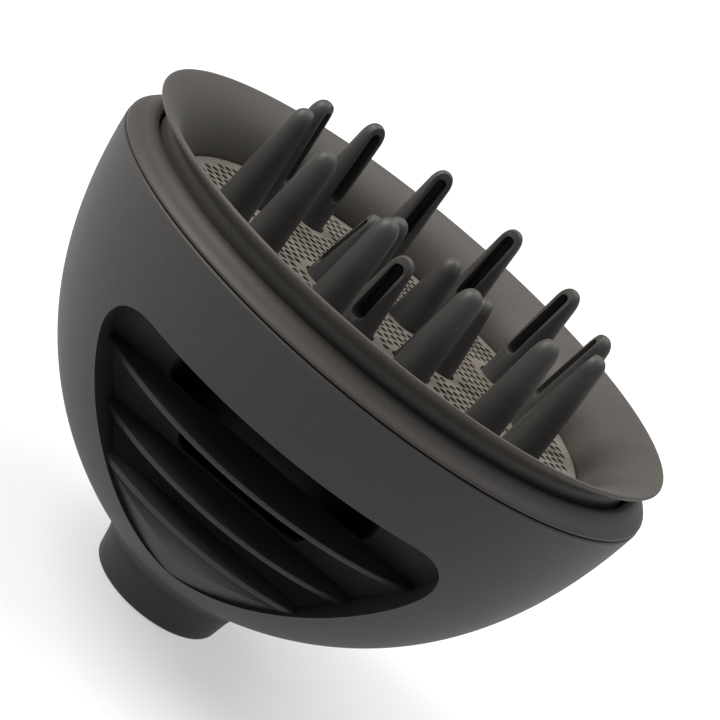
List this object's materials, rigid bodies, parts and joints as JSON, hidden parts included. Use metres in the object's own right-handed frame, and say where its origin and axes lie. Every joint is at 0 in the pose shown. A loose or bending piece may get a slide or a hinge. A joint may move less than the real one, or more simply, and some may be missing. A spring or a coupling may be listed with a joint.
{
  "type": "hair dryer diffuser",
  "caption": "Domed hair dryer diffuser with a round neck, louvred side windows and a flared perforated bowl that slides over hollow slotted prongs.",
  "frame": {"origin": "centre of the neck's annular end face, the lowest face of the part", "axes": "+Z along the axis from the neck towards the prong tips, -Y out of the middle of one louvred window"},
  "size_m": [0.1656, 0.1656, 0.1282],
  "materials": {
    "shell_plastic": "soft touch matte",
    "ring_plastic": "fine matte",
    "bowl_plastic": "fine matte",
    "prong_plastic": "satin matte",
    "plate_plastic": "fine matte",
    "inner_plastic": "matte",
    "seal_rubber": "matte",
    "screw_steel": "zinc plated"
  },
  "bodies": {
    "dome": {"outer_shell": "shell_plastic", "shoulder_ring": "ring_plastic", "neck_collar": "shell_plastic", "neck_seal": "seal_rubber", "inner_duct": "inner_plastic", "upper_fin_1": "shell_plastic", "upper_fin_2": "shell_plastic", "upper_fin_3": "shell_plastic", "middle_fin_1": "shell_plastic", "middle_fin_2": "shell_plastic", "middle_fin_3": "shell_plastic", "lower_fin_1": "shell_plastic", "lower_fin_2": "shell_plastic", "lower_fin_3": "shell_plastic", "prong_carrier": "inner_plastic", "outer_prong_01": "prong_plastic", "outer_prong_02": "prong_plastic", "outer_prong_03": "prong_plastic", "outer_prong_04": "prong_plastic", "outer_prong_05": "prong_plastic", "outer_prong_06": "prong_plastic", "outer_prong_07": "prong_plastic", "outer_prong_08": "prong_plastic", "outer_prong_09": "prong_plastic", "outer_prong_10": "prong_plastic", "outer_prong_11": "prong_plastic", "outer_prong_12": "prong_plastic", "inner_prong_01": "prong_plastic", "inner_prong_02": "prong_plastic", "inner_prong_03": "prong_plastic", "inner_prong_04": "prong_plastic", "inner_prong_05": "prong_plastic", "inner_prong_06": "prong_plastic", "carrier_screw_1": "screw_steel", "carrier_screw_2": "screw_steel", "carrier_screw_3": "screw_steel"},
    "bowl": {"flared_bowl": "bowl_plastic", "perforated_plate": "plate_plastic", "glide_ring": "seal_rubber"}
  },
  "joints": [
    {"name": "bowl_slide", "type": "slide", "parent": "dome", "child": "bowl", "axis": [0, 0, 1], "range_m": [0, 0.016]}
  ]
}
